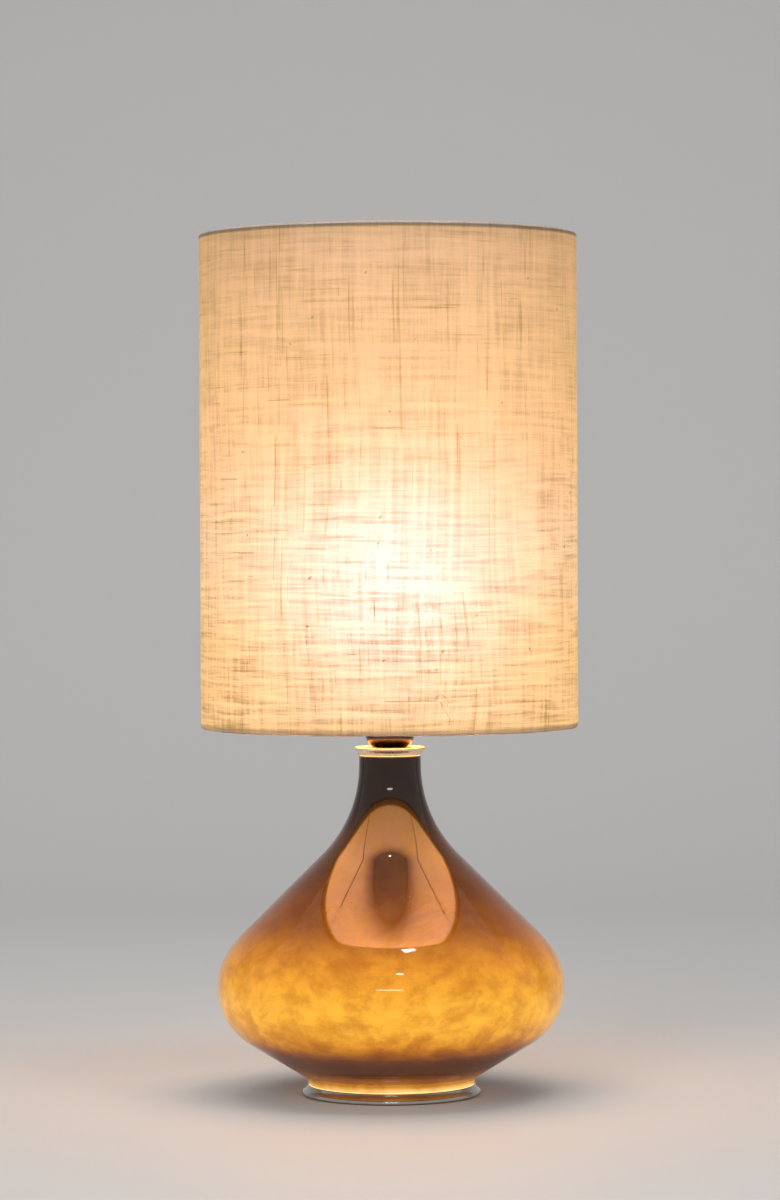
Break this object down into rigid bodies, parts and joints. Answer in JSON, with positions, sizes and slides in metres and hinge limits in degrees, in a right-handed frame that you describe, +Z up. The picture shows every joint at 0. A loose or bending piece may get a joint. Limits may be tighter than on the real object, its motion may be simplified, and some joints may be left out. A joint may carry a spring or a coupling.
{
  "type": "table lamp",
  "caption": "Table lamp: a drop-shaped amber glass body on a low flared metal foot, under a tall drum shade of coarse linen lit by a screw-in bulb.",
  "frame": {"origin": "middle of the felt pad's underside, where the lamp stands on the table", "axes": "+Z up the lamp's axis, -Y towards the front, +Y to the rear where the cord leaves"},
  "size_m": [0.3, 0.3, 0.6855],
  "materials": {
    "foot_metal": "turned and polished, dark chromed",
    "felt": "black pressed felt",
    "sheet_steel": "zinc plated",
    "screw_steel": "zinc plated",
    "rubber": "moulded black rubber",
    "white_plastic": "moulded, matt",
    "wire_cover": "wire insulation",
    "cable_cover": "cable sheath",
    "brass": "plain turned brass",
    "board": "white lacquered board",
    "chips": "yellow light chips",
    "opal": "opal, lit from inside",
    "gasket": "clear grey silicone",
    "amber_glass": "cased glass, glossy, amber belly running to black at the neck",
    "collar_metal": "pale gold, polished",
    "holder_metal": "bronze coloured, polished",
    "ceramic": "glazed steatite",
    "contact_metal": "bright brass strip",
    "shade_wire": "white powder coated wire",
    "liner": "stiff white laminate",
    "linen": "coarse slubby linen, natural beige",
    "bulb_metal": "nickel plated",
    "bulb_black": "black vitreous insulator",
    "bulb_white": "white housing",
    "bulb_opal": "opal dome, lit warm white"
  },
  "bodies": {
    "root": {"foot_plate": "foot_metal", "felt_pad": "felt", "bottom_cover": "sheet_steel", "cover_screws": "screw_steel", "cord_grommet": "rubber", "terminal_block": "white_plastic", "terminal_screws": "brass", "led_driver": "white_plastic", "feed_wires": "wire_cover", "led_leads": "wire_cover", "threaded_rod": "screw_steel", "rod_nut_lower": "brass", "lock_washer": "screw_steel", "rod_nut_upper": "brass", "led_board": "board", "led_chips": "chips", "board_screws": "screw_steel", "led_diffuser": "opal", "foot_gasket": "gasket", "glass_body": "amber_glass", "neck_gasket": "gasket", "neck_collar": "collar_metal", "riser_cable": "cable_cover", "holder_leads": "wire_cover", "holder_cap": "holder_metal", "holder_grub_screw": "screw_steel", "holder_sleeve": "holder_metal", "holder_core": "ceramic", "holder_terminals": "brass", "screw_shell": "contact_metal", "centre_contact": "contact_metal", "lower_shade_ring": "holder_metal"},
    "shade": {"shade_hub": "shade_wire", "shade_fitter": "shade_wire", "top_ring": "shade_wire", "shade_liner": "liner", "shade_fabric": "linen"},
    "shade_ring": {"upper_shade_ring": "holder_metal"},
    "bulb_base": {"bulb_screw_cap": "bulb_metal", "bulb_insulator": "bulb_black", "bulb_contact": "bulb_metal"},
    "bulb_globe": {"bulb_housing": "bulb_white", "bulb_dome": "bulb_opal"}
  },
  "joints": [
    {"name": "shade_turn", "type": "hinge", "parent": "root", "child": "shade", "pos_m": [0, 0, 0.3088], "axis": [0, 0, 1], "continuous": true},
    {"name": "shade_ring_travel", "type": "slide", "parent": "root", "child": "shade_ring", "axis": [0, 0, 1], "range_m": [0, 0.0109]},
    {"name": "bulb_rise", "type": "slide", "parent": "root", "child": "bulb_base", "axis": [0, 0, 1], "range_m": [0, 0.0255]},
    {"name": "bulb_turn", "type": "hinge", "parent": "bulb_base", "child": "bulb_globe", "pos_m": [0, 0, 0.351], "axis": [0, 0, 1], "range_deg": [0, 2520]}
  ],
  "couplings": [
    {"joint": "bulb_rise", "follows": "bulb_turn", "m_per_rad": 0.00057757}
  ]
}
